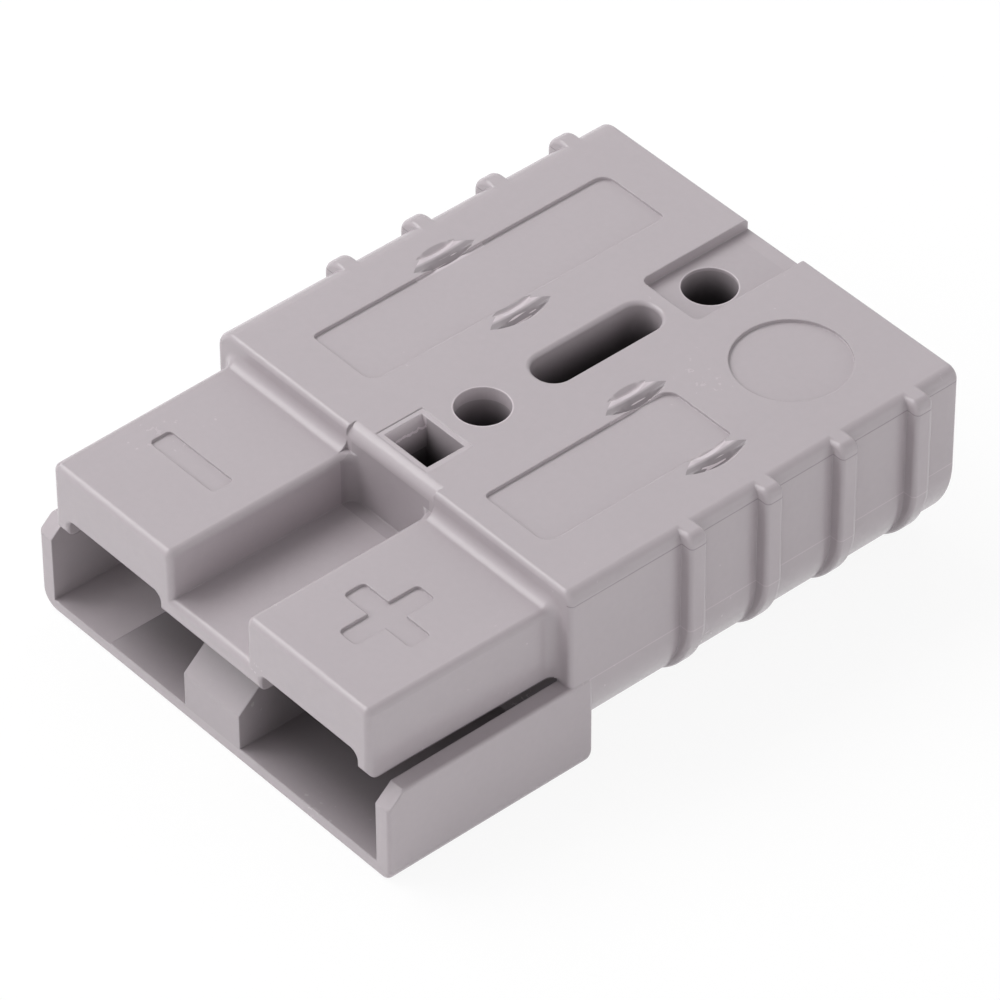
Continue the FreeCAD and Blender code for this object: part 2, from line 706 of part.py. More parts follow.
def make_spring(name, centre):
    """Flat spring of one pole: its seat lies on the chamber's roof and its tip presses on the blade."""
    body = new_body(name)
    sketch = new_sketch(body, f"{name}_outline", "YZ_Plane", centre)
    seat = "chamber_roof - spring_thickness"
    seat_start = "spring_rear - spring_seat_length"
    tip = "blade_front + nose_thickness + spring_tip_gap"
    tip_end = f"{tip} + spring_tip_length"
    blade_top = "mating_plane + blade_thickness"
    add_outline(sketch, [
        (tip, blade_top), (tip_end, blade_top), (seat_start, seat), ("spring_rear", seat),
        ("spring_rear", f"{seat} + spring_thickness"), (seat_start, f"{seat} + spring_thickness"),
        (tip_end, f"{blade_top} + spring_thickness"), (tip, f"{blade_top} + spring_thickness")])
    grow(body, "Pad", f"{name}_strip", sketch, "spring_width", midplane=True)
    return body


PIECES = [make_housing()]
for pole, centre in (("minus", "-pole_pitch / 2"), ("plus", "pole_pitch / 2")):
    PIECES.append(make_contact(f"contact_{pole}", centre))
    PIECES.append(make_spring(f"spring_{pole}", centre))

doc.recompute()
for one in doc.Objects:
    if "Invalid" in one.State or "Error" in one.State:
        raise ValueError(f"{one.Label} did not compute: {one.State}")
    if hasattr(one, "Shape") and one.isDerivedFrom("PartDesign::Feature"):
        if one.Shape.isNull() or not one.Shape.isValid():
            raise ValueError(f"{one.Label} has no valid shape")

os.makedirs("parts", exist_ok=True)
for piece in PIECES:
    if piece.Shape.isNull() or not piece.Shape.isValid() or len(piece.Shape.Solids) != 1:
        raise ValueError(f"{piece.Label} is not one valid solid")
    piece.Shape.exportStep(f"parts/{piece.Label}.step")
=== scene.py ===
# Genderless two-pole power connector, 50 A class, dressed for a studio view.
# Metres, in the CAD frame: X across the poles, Y from the mating face to the cable end, Z up.
import math

import bmesh
import bpy
from mathutils import Matrix, Vector


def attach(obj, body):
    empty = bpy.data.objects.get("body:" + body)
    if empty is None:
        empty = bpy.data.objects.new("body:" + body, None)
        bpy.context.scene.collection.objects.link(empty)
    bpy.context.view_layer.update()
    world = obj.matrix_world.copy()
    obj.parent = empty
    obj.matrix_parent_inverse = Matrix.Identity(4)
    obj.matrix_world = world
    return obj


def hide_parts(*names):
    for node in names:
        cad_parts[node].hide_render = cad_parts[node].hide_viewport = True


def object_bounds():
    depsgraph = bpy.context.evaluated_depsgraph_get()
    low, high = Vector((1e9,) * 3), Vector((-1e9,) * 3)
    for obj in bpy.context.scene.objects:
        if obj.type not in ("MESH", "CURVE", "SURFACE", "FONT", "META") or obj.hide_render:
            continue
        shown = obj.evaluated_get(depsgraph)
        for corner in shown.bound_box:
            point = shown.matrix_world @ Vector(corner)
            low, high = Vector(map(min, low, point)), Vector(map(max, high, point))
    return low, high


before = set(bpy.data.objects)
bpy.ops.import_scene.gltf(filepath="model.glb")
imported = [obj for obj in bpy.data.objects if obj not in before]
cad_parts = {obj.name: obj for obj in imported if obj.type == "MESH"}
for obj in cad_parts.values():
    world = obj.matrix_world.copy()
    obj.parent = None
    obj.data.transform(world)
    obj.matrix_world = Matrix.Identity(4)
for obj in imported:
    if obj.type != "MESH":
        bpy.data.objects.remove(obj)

CAD_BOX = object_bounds()

bl_info = {
    "name": "Power connector dressing",
    "version": (1, 0, 0),
    "blender": (4, 5, 0),
    "location": "3D View > Sidebar > Connector",
    "description": "Finishes and studio stage of a genderless two-pole power connector",
    "category": "Object",
}

MM = 0.001

# Places in millimetres: along Y from the mating face, across X from the middle, up Z from the underside
BODY_FRONT = 15.0
SCREW_PLACES = (22.75, 42.25)
SCREW_RIM = 1.93
RECESS_FLOOR = 13.95
DIMPLE_PLACE = 30.65
DIMPLE_FRONT = 27.8
DIMPLE_REAR = 33.5
DIMPLE_PAIR = 9.4
DIMPLE_FROM_PAIR = 3.8
DIMPLE_INNER_LIMIT = 4.0
DIMPLE_OUTER_LIMIT = 15.0


# Sizes and colours that a user would change


class HousingFinish(bpy.types.PropertyGroup):
    """Finish of the moulded housing."""
    colour: bpy.props.FloatVectorProperty(
        name="Plastic colour", description="Warm light grey of the moulding", subtype="COLOR", size=4,
        min=0.0, max=1.0, default=(0.465, 0.417, 0.442, 1.0))
    roughness: bpy.props.FloatProperty(
        name="Roughness", description="Gloss of the moulded skin", min=0.0, max=1.0, default=0.24,
        subtype="FACTOR")
    edge_radius: bpy.props.FloatProperty(
        name="Edge radius", description="Soft radius that moulding leaves on a sharp edge",
        default=0.14 * MM, min=0.0, unit="LENGTH", subtype="DISTANCE")
    parting_height: bpy.props.FloatProperty(
        name="Parting line height", description="Height of the line where the mould halves meet",
        default=7.15 * MM, unit="LENGTH", subtype="DISTANCE")
    insert_height: bpy.props.FloatProperty(
        name="Insert line height", description="Height of the line under the rounded top edge",
        default=14.08 * MM, unit="LENGTH", subtype="DISTANCE")
    crease_angle: bpy.props.FloatProperty(
        name="Crease angle", description="Edges steeper than this stay sharp", default=math.radians(28.0),
        subtype="ANGLE", unit="ROTATION")


class MetalFinish(bpy.types.PropertyGroup):
    """Finish of the contacts and their springs."""
    plating: bpy.props.FloatVectorProperty(
        name="Plating colour", description="Silver plating over copper", subtype="COLOR", size=4,
        min=0.0, max=1.0, default=(0.8, 0.79, 0.76, 1.0))
    steel: bpy.props.FloatVectorProperty(
        name="Spring colour", description="Stainless spring strip", subtype="COLOR", size=4,
        min=0.0, max=1.0, default=(0.6, 0.6, 0.6, 1.0))


class StageSettings(bpy.types.PropertyGroup):
    """Camera, floor and lamps."""
    focal_length: bpy.props.FloatProperty(
        name="Focal length", description="Lens for a 36 mm sensor", default=265.726,
        subtype="DISTANCE_CAMERA")
    floor_size: bpy.props.FloatProperty(
        name="Floor size", description="Side of the square floor", default=6.0, unit="LENGTH",
        subtype="DISTANCE")
    overhead: bpy.props.FloatProperty(
        name="Overhead", description="Strength of the surround straight above", default=0.3, min=0.0)
    horizon: bpy.props.FloatProperty(
        name="Horizon", description="Strength that the surround gains towards the horizon", default=0.75,
        min=0.0)
    key: bpy.props.FloatProperty(
        name="Key lamp", description="Power of the high lamp over the minus side", default=1.6,
        unit="POWER", min=0.0)
    front: bpy.props.FloatProperty(
        name="Front lamp", description="Power of the lamp before the mating face", default=0.7,
        unit="POWER", min=0.0)
    side: bpy.props.FloatProperty(
        name="Side lamp", description="Power of the low lamp beside the plus side", default=0.5,
        unit="POWER", min=0.0)
    sheen: bpy.props.FloatProperty(
        name="Sheen lamp", description="Power of the lamp that the top face mirrors", default=0.5,
        unit="POWER", min=0.0)


# Shapes


def merged_copy(node, name):
    """Copy of a CAD node with its loose triangles joined."""
    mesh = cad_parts[node].data.copy()
    mesh.name = name
    mesh.materials.clear()
    shape = bmesh.new()
    shape.from_mesh(mesh)
    bmesh.ops.remove_doubles(shape, verts=shape.verts, dist=0.001 * MM)
    bmesh.ops.dissolve_degenerate(shape, edges=shape.edges, dist=0.0005 * MM)
    bmesh.ops.triangulate(shape, faces=shape.faces)
    shape.to_mesh(mesh)
    shape.free()
    piece = bpy.data.objects.new(name, mesh)
    bpy.context.scene.collection.objects.link(piece)
    return piece


def flat_regions(shape, angle):
    """Numbers the faces so that faces in one plane share a number, with the area of each region."""
    region = [-1] * len(shape.faces)
    areas = []
    for start in shape.faces:
        if region[start.index] >= 0:
            continue
        region[start.index] = len(areas)
        waiting = [start]
        area = 0.0
        while waiting:
            face = waiting.pop()
            area += face.calc_area()
            for edge in face.edges:
                for other in edge.link_faces:
                    if region[other.index] < 0 and other.normal.angle(start.normal, 1.0) < angle:
                        region[other.index] = len(areas)
                        waiting.append(other)
        areas.append(area)
    return region, areas


def smooth_round(piece, crease):
    """Shades rounded faces smoothly and keeps flat faces flat, with sharp edges past the crease angle."""
    shape = bmesh.new()
    shape.from_mesh(piece.data)
    shape.faces.ensure_lookup_table()
    shape.normal_update()
    region, areas = flat_regions(shape, math.radians(0.4))
    for edge in shape.edges:
        edge.smooth = len(edge.link_faces) == 2 and edge.calc_face_angle(math.pi) < crease
    for face in shape.faces:
        face.smooth = True
    normals = [Vector((0.0, 0.0, 1.0))] * sum(len(face.loops) for face in shape.faces)
    number = 0
    for face in shape.faces:
        for loop in face.loops:
            loop.index = number
            number += 1
    done = set()
    for face in shape.faces:
        for loop in face.loops:
            if loop.index in done:
                continue
            fan = [loop]
            for turn_back in (False, True):
                here = loop
                while True:
                    edge = here.link_loop_prev.edge if turn_back else here.edge
                    if not edge.smooth:
                        break
                    other = [side for side in edge.link_loops if side.face is not here.face][0]
                    here = other if other.vert is loop.vert else other.link_loop_next
                    if here in fan:
                        break
                    fan.append(here)
            total = Vector()
            for side in fan:
                total += side.face.normal * (side.calc_angle() * areas[region[side.face.index]] ** 2)
            total.normalize()
            for side in fan:
                normals[side.index] = total
                done.add(side.index)
    shape.to_mesh(piece.data)
    shape.free()
    piece.data.normals_split_custom_set([tuple(one) for one in normals])


def dress(node, name, material, crease):
    """Smoothed copy that stands for a CAD node."""
    piece = merged_copy(node, name)
    smooth_round(piece, crease)
    piece.data.materials.append(material)
    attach(piece, "root")
    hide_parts(node)
    return piece


# Finishes


def link(tree, source, target):
    tree.links.new(source, target)


def math_node(tree, operation, first, second=None, third=None):
    """Output of a maths node whose inputs are sockets or numbers."""
    node = tree.nodes.new("ShaderNodeMath")
    node.operation = operation
    for socket, value in zip(node.inputs, (first, second, third)):
        if value is None:
            continue
        if isinstance(value, (int, float)):
            socket.default_value = value
        else:
            link(tree, value, socket)
    return node.outputs["Value"]


def noise(tree, coordinates, scale, detail=3.0, stretch=None):
    """Noise in object space, from 0 to 1."""
    if stretch is not None:
        mapping = tree.nodes.new("ShaderNodeMapping")
        mapping.inputs["Scale"].default_value = stretch
        link(tree, coordinates, mapping.inputs["Vector"])
        coordinates = mapping.outputs["Vector"]
    node = tree.nodes.new("ShaderNodeTexNoise")
    node.inputs["Scale"].default_value = scale
    node.inputs["Detail"].default_value = detail
    node.inputs["Roughness"].default_value = 0.55
    link(tree, coordinates, node.inputs["Vector"])
    return node.outputs["Fac"]


def ramp(tree, value, start, end):
    """Smooth rise from 0 at the start to 1 at the end."""
    node = tree.nodes.new("ShaderNodeMapRange")
    node.interpolation_type = "SMOOTHSTEP"
    node.inputs["From Min"].default_value = start
    node.inputs["From Max"].default_value = end
    link(tree, value, node.inputs["Value"])
    return node.outputs["Result"]


def new_group(name, inputs, outputs):
    """Shader node group with named sockets."""
    group = bpy.data.node_groups.new(name, "ShaderNodeTree")
    for label, kind, value in inputs:
        socket = group.interface.new_socket(name=label, in_out="INPUT", socket_type=kind)
        socket.default_value = value
    for label, kind in outputs:
        group.interface.new_socket(name=label, in_out="OUTPUT", socket_type=kind)
    entry = group.nodes.new("NodeGroupInput")
    leaving = group.nodes.new("NodeGroupOutput")
    return group, entry, leaving


def surface_variation():
    """Group: slight change of colour and gloss over a surface, with a fine skin for the bump."""
    group, entry, leaving = new_group("Surface variation", [
        ("Colour", "NodeSocketColor", (0.5, 0.5, 0.5, 1.0)),
        ("Tint", "NodeSocketFloat", 0.05),
        ("Gloss", "NodeSocketFloat", 0.4),
        ("Gloss change", "NodeSocketFloat", 0.08),
        ("Broad scale", "NodeSocketFloat", 90.0),
        ("Fine scale", "NodeSocketFloat", 2500.0),
    ], [("Colour", "NodeSocketColor"), ("Roughness", "NodeSocketFloat"), ("Height", "NodeSocketFloat")])
    place = group.nodes.new("ShaderNodeTexCoord")
    broad = group.nodes.new("ShaderNodeTexNoise")
    broad.inputs["Detail"].default_value = 4.0
    link(group, place.outputs["Object"], broad.inputs["Vector"])
    link(group, entry.outputs["Broad scale"], broad.inputs["Scale"])
    fine = group.nodes.new("ShaderNodeTexNoise")
    fine.inputs["Detail"].default_value = 3.0
    link(group, place.outputs["Object"], fine.inputs["Vector"])
    link(group, entry.outputs["Fine scale"], fine.inputs["Scale"])
    both = math_node(group, "ADD", broad.outputs["Fac"], fine.outputs["Fac"])
    centred = math_node(group, "SUBTRACT", both, 1.0)
    change = math_node(group, "MULTIPLY_ADD", centred, entry.outputs["Tint"], 1.0)
    colour = group.nodes.new("ShaderNodeVectorMath")
    colour.operation = "SCALE"
    link(group, entry.outputs["Colour"], colour.inputs[0])
    link(group, change, colour.inputs["Scale"])
    link(group, colour.outputs["Vector"], leaving.inputs["Colour"])
    gloss = math_node(group, "MULTIPLY_ADD", centred, entry.outputs["Gloss change"], entry.outputs["Gloss"])
    link(group, gloss, leaving.inputs["Roughness"])
    link(group, fine.outputs["Fac"], leaving.inputs["Height"])
    return group


def line_mask():
    """Group: a thin level line at a height, on the outermost faces behind a given place."""
    group, entry, leaving = new_group("Mould line", [
        ("Height", "NodeSocketFloat", 0.007),
        ("Width", "NodeSocketFloat", 0.0001),
        ("Front", "NodeSocketFloat", 0.0),
    ], [("Mask", "NodeSocketFloat")])
    place = group.nodes.new("ShaderNodeTexCoord")
    split = group.nodes.new("ShaderNodeSeparateXYZ")
    link(group, place.outputs["Object"], split.inputs["Vector"])
    wander = noise(group, place.outputs["Object"], 260.0, 2.0)
    shifted = math_node(group, "MULTIPLY_ADD", wander, 0.06 * MM, split.outputs["Z"])
    away = math_node(group, "ABSOLUTE", math_node(group, "SUBTRACT", shifted, entry.outputs["Height"]))
    share = math_node(group, "DIVIDE", away, entry.outputs["Width"])
    near = ramp(group, share, 1.0, 0.0)
    behind = math_node(group, "GREATER_THAN", split.outputs["Y"], entry.outputs["Front"])
    outside = math_node(group, "GREATER_THAN", math_node(group, "ABSOLUTE", split.outputs["X"]), 16.8 * MM)
    mask = math_node(group, "MULTIPLY", math_node(group, "MULTIPLY", near, behind), outside)
    link(group, mask, leaving.inputs["Mask"])
    return group


def edge_round_and_highlight():
    """Group: normal that rounds sharp edges by a small radius, and a mask of those edges for a painted edge
    highlight.
    """
    group, entry, leaving = new_group("Edge round and highlight", [
        ("Width", "NodeSocketFloat", 0.0001),
    ], [("Normal", "NodeSocketVector"), ("Mask", "NodeSocketFloat")])
    rounded = group.nodes.new("ShaderNodeBevel")
    rounded.samples = 6
    link(group, entry.outputs["Width"], rounded.inputs["Radius"])
    plain = group.nodes.new("ShaderNodeNewGeometry")
    agree = group.nodes.new("ShaderNodeVectorMath")
    agree.operation = "DOT_PRODUCT"
    link(group, rounded.outputs["Normal"], agree.inputs[0])
    link(group, plain.outputs["Normal"], agree.inputs[1])
    link(group, rounded.outputs["Normal"], leaving.inputs["Normal"])
    link(group, ramp(group, agree.outputs["Value"], 0.97, 0.8), leaving.inputs["Mask"])
    return group


def box_mask(tree, split, low, high):
    """1 inside a box given in metres in the CAD frame, 0 outside. None leaves a side open."""
    mask = None
    for axis, least, most in zip("XYZ", low, high):
        for operation, limit in (("GREATER_THAN", least), ("LESS_THAN", most)):
            if limit is None:
                continue
            test = math_node(tree, operation, split.outputs[axis], limit)
            mask = test if mask is None else math_node(tree, "MULTIPLY", mask, test)
    return mask


def beside_middle(tree, split):
    """1 on both sides of the middle, where the dimples lie, 0 elsewhere."""
    across = math_node(tree, "ABSOLUTE", split.outputs["X"])
    return math_node(tree, "MULTIPLY", math_node(tree, "GREATER_THAN", across, DIMPLE_INNER_LIMIT * MM),
                     math_node(tree, "LESS_THAN", across, DIMPLE_OUTER_LIMIT * MM))


def tool_marks():
    """Group: fine bright scratches of the cutter at the bottom of the dimples."""
    group, entry, leaving = new_group("Tool marks", [
        ("Place", "NodeSocketFloat", 0.0065),
        ("Level", "NodeSocketFloat", 0.0147),
        ("Reach", "NodeSocketFloat", 0.0024),
    ], [("Mask", "NodeSocketFloat")])
    place = group.nodes.new("ShaderNodeTexCoord")
    split = group.nodes.new("ShaderNodeSeparateXYZ")
    link(group, place.outputs["Object"], split.inputs["Vector"])
    offset = math_node(group, "SUBTRACT", split.outputs["Y"], entry.outputs["Place"])
    along = math_node(group, "ABSOLUTE", offset)
    near = math_node(group, "LESS_THAN", along, entry.outputs["Reach"])
    deep = math_node(group, "LESS_THAN", split.outputs["Z"], entry.outputs["Level"])
    shallow = math_node(group, "GREATER_THAN", split.outputs["Z"], 14.0 * MM)
    streaks = noise(group, place.outputs["Object"], 1.0, 0.0, (7000.0, 420.0, 5200.0))
    sharp = ramp(group, streaks, 0.62, 0.68)
    inside = math_node(group, "MULTIPLY", math_node(group, "MULTIPLY", near, deep),
                       math_node(group, "MULTIPLY", shallow, beside_middle(group, split)))
    link(group, math_node(group, "MULTIPLY", inside, sharp), leaving.inputs["Mask"])
    return group


def place_group(tree, group, values):
    """Group node in a material with its own values."""
    node = tree.nodes.new("ShaderNodeGroup")
    node.node_tree = group
    for label, value in values.items():
        node.inputs[label].default_value = value
    return node


def new_material(name):
    """Material with a Principled BSDF and its output."""
    material = bpy.data.materials.new(name)
    material.use_nodes = True
    tree = material.node_tree
    tree.nodes.clear()
    shader = tree.nodes.new("ShaderNodeBsdfPrincipled")
    output = tree.nodes.new("ShaderNodeOutputMaterial")
    link(tree, shader.outputs["BSDF"], output.inputs["Surface"])
    return material, tree, shader


def window_flash_and_lit_wall(tree, place, split):
    """Mask of the pale frame round the square window and of its minus wall, which carries painted light with
    the ragged flash along it.
    """
    front = frame_place(15.9)
    rear = frame_place(19.8)
    frame_floor = box_mask(tree, split, (-2.6 * MM, front, 14.93 * MM), (2.6 * MM, rear, 14.97 * MM))
    wall = box_mask(tree, split, (-2.15 * MM, front, 12.5 * MM), (-1.6 * MM, rear, 14.93 * MM))
    ragged = noise(tree, place.outputs["Object"], 1.0, 3.0, (600.0, 2600.0, 900.0))
    edge = math_node(tree, "MULTIPLY_ADD", ragged, 0.5 * MM, split.outputs["Z"])
    off_line = math_node(tree, "ABSOLUTE", math_node(tree, "SUBTRACT", edge, 14.45 * MM))
    torn = math_node(tree, "LESS_THAN", off_line, 0.07 * MM)
    # On the minus wall: painted light over the whole wall, and lighter still along the torn line of flash.
    flash_on_lit_wall = math_node(tree, "MULTIPLY_ADD", torn, 2.0, 1.6)
    return math_node(tree, "MULTIPLY_ADD", frame_floor, 0.3, math_node(tree, "MULTIPLY", wall, flash_on_lit_wall))


def dimple_painted_light(tree, split):
    """Painted light and shade in the dimples: a painted highlight on the facet, painted shade in the trough
    and a painted highlight on its far rim.
    """
    pair = math_node(tree, "MULTIPLY_ADD", math_node(tree, "SIGN", split.outputs["X"]),
                     -DIMPLE_PAIR * MM, split.outputs["X"])
    across = math_node(tree, "MULTIPLY_ADD", math_node(tree, "SIGN", pair), -DIMPLE_FROM_PAIR * MM, pair)
    facet = (-0.72, -0.3, 0.4)
    trough = (-0.12, 0.5, -0.3)
    far_rim = (0.7, 0.92, 0.3)
    tone = None
    for start, end, change in (facet, trough, far_rim):
        rise = ramp(tree, across, (start - 0.1) * MM, (start + 0.05) * MM)
        fall = ramp(tree, across, (end + 0.1) * MM, (end - 0.05) * MM)
        band = math_node(tree, "MULTIPLY", rise, fall)
        tone = math_node(tree, "MULTIPLY_ADD", band, change, 0.0 if tone is None else tone)
    inside = box_mask(tree, split, (None, frame_place(DIMPLE_FRONT), 14.1 * MM),
                      (None, frame_place(DIMPLE_REAR), 14.96 * MM))
    where = math_node(tree, "MULTIPLY", inside, beside_middle(tree, split))
    return math_node(tree, "MULTIPLY", tone, where)


def hole_rim_highlights(tree, split):
    """Mask of the painted highlights on the thin rims of the two screw holes."""
    level = math_node(tree, "GREATER_THAN", split.outputs["Z"], RECESS_FLOOR * MM)
    rim_highlights = None
    for distance in SCREW_PLACES:
        along = math_node(tree, "SUBTRACT", split.outputs["Y"], frame_place(distance))
        square = math_node(tree, "MULTIPLY_ADD", along, along, math_node(
            tree, "MULTIPLY", split.outputs["X"], split.outputs["X"]))
        away = math_node(tree, "SUBTRACT", math_node(tree, "SQRT", square), SCREW_RIM * MM)
        rim_highlight = ramp(tree, math_node(tree, "ABSOLUTE", away), 0.09 * MM, 0.02 * MM)
        rim_highlights = rim_highlight if rim_highlights is None else math_node(tree, "ADD", rim_highlights, rim_highlight)
    return math_node(tree, "MULTIPLY", rim_highlights, level)


def inside_shade(tree, split):
    """Share of the colour left where painted shade darkens it: mating cavity, upright holes, wall behind the
    hoods.
    """
    cavity = box_mask(tree, split, (-16.0 * MM, None, 1.0 * MM), (16.0 * MM, frame_place(15.1), 7.6 * MM))
    back = ramp(tree, split.outputs["Y"], frame_place(-1.5), frame_place(4.0))
    in_cavity = math_node(tree, "MULTIPLY_ADD", math_node(tree, "MULTIPLY", cavity, back), -0.52, 1.0)
    holes = box_mask(tree, split, (-2.3 * MM, frame_place(15.7), None),
                     (2.3 * MM, frame_place(47.0), 14.62 * MM))
    down = ramp(tree, split.outputs["Z"], 14.6 * MM, 11.4 * MM)
    in_holes = math_node(tree, "MULTIPLY_ADD", math_node(tree, "MULTIPLY", holes, down), -0.85, 1.0)
    recess = box_mask(tree, split, (-3.8 * MM, frame_place(14.0), 9.0 * MM),
                      (3.8 * MM, frame_place(15.2), 14.0 * MM))
    on_wall = math_node(tree, "MULTIPLY_ADD", recess, -0.15, 1.0)
    return math_node(tree, "MULTIPLY", math_node(tree, "MULTIPLY", in_cavity, in_holes), on_wall)


def housing_plastic(finish, variation, line, edge_group, marks):
    """Satin grey moulded plastic with its mould lines, tool marks and flash, painted highlights on sharp
    edges, dimples, hole rims and the window wall, and painted shade in its hollows.
    """
    material, tree, shader = new_material("Housing plastic")
    skin = place_group(tree, variation, {
        "Colour": tuple(finish.colour), "Tint": 0.05, "Gloss": finish.roughness, "Gloss change": 0.1,
        "Broad scale": 110.0, "Fine scale": 1900.0})
    parting = place_group(tree, line, {
        "Height": finish.parting_height, "Width": 0.07 * MM, "Front": frame_place(16.5)})
    insert = place_group(tree, line, {
        "Height": finish.insert_height, "Width": 0.07 * MM, "Front": frame_place(BODY_FRONT)})
    scratches = place_group(tree, marks, {"Place": frame_place(DIMPLE_PLACE)})
    edges = place_group(tree, edge_group, {"Width": finish.edge_radius})
    lighter = math_node(tree, "MULTIPLY_ADD", parting.outputs["Mask"], 0.22, 1.0)
    # Painted highlight: the colour is lightened along every sharp edge.
    edge_highlighted = math_node(tree, "MULTIPLY_ADD", edges.outputs["Mask"], 0.12, lighter)
    scratched = math_node(tree, "MULTIPLY_ADD", scratches.outputs["Mask"], 0.9, edge_highlighted)
    place = tree.nodes.new("ShaderNodeTexCoord")
    split = tree.nodes.new("ShaderNodeSeparateXYZ")
    link(tree, place.outputs["Object"], split.inputs["Vector"])
    # Window: pale frame, painted light on the minus wall and its flash.
    window_lit = math_node(tree, "MULTIPLY_ADD", window_flash_and_lit_wall(tree, place, split), 0.3, scratched)
    # Dimples: painted highlight on the facet and the far rim, painted shade in the trough.
    dimple_lit = math_node(tree, "ADD", window_lit, dimple_painted_light(tree, split))
    # Screw holes: a painted highlight ring on each rim.
    rim_lit = math_node(tree, "MULTIPLY_ADD", hole_rim_highlights(tree, split), 0.35, dimple_lit)
    lined = math_node(tree, "MULTIPLY_ADD", insert.outputs["Mask"], -0.3, rim_lit)
    # Painted shade in the mating cavity, the upright holes and on the wall behind the hoods.
    darker = math_node(tree, "MULTIPLY", lined, inside_shade(tree, split))
    colour = tree.nodes.new("ShaderNodeVectorMath")
    colour.operation = "SCALE"
    link(tree, skin.outputs["Colour"], colour.inputs[0])
    link(tree, darker, colour.inputs["Scale"])
    link(tree, colour.outputs["Vector"], shader.inputs["Base Color"])
    link(tree, skin.outputs["Roughness"], shader.inputs["Roughness"])
    ridge = math_node(tree, "MULTIPLY", scratches.outputs["Mask"], 0.012)
    groove = math_node(tree, "MULTIPLY_ADD", insert.outputs["Mask"], -0.02, ridge)
    height = math_node(tree, "MULTIPLY_ADD", skin.outputs["Height"], 0.003, groove)
    bump = tree.nodes.new("ShaderNodeBump")
    bump.inputs["Strength"].default_value = 1.0
    bump.inputs["Distance"].default_value = MM
    link(tree, height, bump.inputs["Height"])
    link(tree, edges.outputs["Normal"], bump.inputs["Normal"])
    link(tree, bump.outputs["Normal"], shader.inputs["Normal"])
    shader.inputs["IOR"].default_value = 1.5
    return material


def metal(name, colour, gloss, variation, edge_group, edge):
    """Bright metal with slight changes of tone and gloss, a fine grain and softened edges."""
    material, tree, shader = new_material(name)
    skin = place_group(tree, variation, {
        "Colour": tuple(colour), "Tint": 0.12, "Gloss": gloss, "Gloss change": 0.2,
        "Broad scale": 300.0, "Fine scale": 4000.0})
    link(tree, skin.outputs["Colour"], shader.inputs["Base Color"])
    link(tree, skin.outputs["Roughness"], shader.inputs["Roughness"])
    shader.inputs["Metallic"].default_value = 1.0
    bump = tree.nodes.new("ShaderNodeBump")
    bump.inputs["Strength"].default_value = 1.0
    bump.inputs["Distance"].default_value = 0.006 * MM
    link(tree, skin.outputs["Height"], bump.inputs["Height"])
    edges = place_group(tree, edge_group, {"Width": edge})
    link(tree, edges.outputs["Normal"], bump.inputs["Normal"])
    link(tree, bump.outputs["Normal"], shader.inputs["Normal"])
    return material


def frame_place(distance):
    """Y of a place given in millimetres from the mating face."""
    return CAD_BOX[0][1] + distance * MM


def shared_group(name, maker):
    """Node group that is made once and used again."""
    return bpy.data.node_groups.get(name) or maker()


# Operators


class CONNECTOR_OT_housing(bpy.types.Operator):
    """Dress the moulded housing"""
    bl_idname = "connector.housing"
    bl_label = "Housing"

    def execute(self, context):
        finish = context.scene.connector_housing
        variation = shared_group("Surface variation", surface_variation)
        line = shared_group("Mould line", line_mask)
        edge_group = shared_group("Edge round and highlight", edge_round_and_highlight)
        marks = shared_group("Tool marks", tool_marks)
        material = housing_plastic(finish, variation, line, edge_group, marks)
        dress("housing", "moulded_housing", material, finish.crease_angle)
        return {"FINISHED"}


class CONNECTOR_OT_contacts(bpy.types.Operator):
    """Dress the two plated contacts"""
    bl_idname = "connector.contacts"
    bl_label = "Contacts"

    def execute(self, context):
        finish = context.scene.connector_metal
        variation = shared_group("Surface variation", surface_variation)
        edge_group = shared_group("Edge round and highlight", edge_round_and_highlight)
        material = metal("Plated copper", finish.plating, 0.3, variation, edge_group, 0.1 * MM)
        for pole in ("minus", "plus"):
            dress(f"contact_{pole}", f"plated_contact_{pole}", material, math.radians(28.0))
        return {"FINISHED"}


class CONNECTOR_OT_springs(bpy.types.Operator):
    """Dress the two contact springs"""
    bl_idname = "connector.springs"
    bl_label = "Contact springs"

    def execute(self, context):
        finish = context.scene.connector_metal
        variation = shared_group("Surface variation", surface_variation)
        edge_group = shared_group("Edge round and highlight", edge_round_and_highlight)
        material = metal("Spring steel", finish.steel, 0.35, variation, edge_group, 0.05 * MM)
        for pole in ("minus", "plus"):
            dress(f"spring_{pole}", f"steel_spring_{pole}", material, math.radians(28.0))
        return {"FINISHED"}


def area_lamp(name, place, size, power):
    """Square soft white lamp that faces the origin."""
    light = bpy.data.lights.new(name, "AREA")
    light.shape = "SQUARE"
    light.size = size
    light.energy = power
    lamp = bpy.data.objects.new(name, light)
    lamp.location = place
    lamp.rotation_euler = (-Vector(place)).to_track_quat("-Z", "Y").to_euler()
    bpy.context.scene.collection.objects.link(lamp)


def add_camera(settings):
    """Camera at the photograph's angle."""
    right = Vector((0.65520966, 0.75543539, -0.00420434))
    down = Vector((0.49923453, -0.43716320, -0.74809974))
    ahead = Vector((-0.56697899, 0.48806323, -0.66357299))
    eye = Vector((0.27010, -0.232402, 0.322335))
    lens = bpy.data.cameras.new("Studio camera")
    lens.sensor_width = 36.0
    lens.lens = settings.focal_length
    lens.clip_start = 0.01
    lens.clip_end = 50.0
    camera = bpy.data.objects.new("Studio camera", lens)
    turned = Matrix((right, -down, -ahead)).transposed().to_4x4()
    camera.matrix_world = Matrix.Translation(eye) @ turned
    bpy.context.scene.collection.objects.link(camera)
    bpy.context.scene.camera = camera


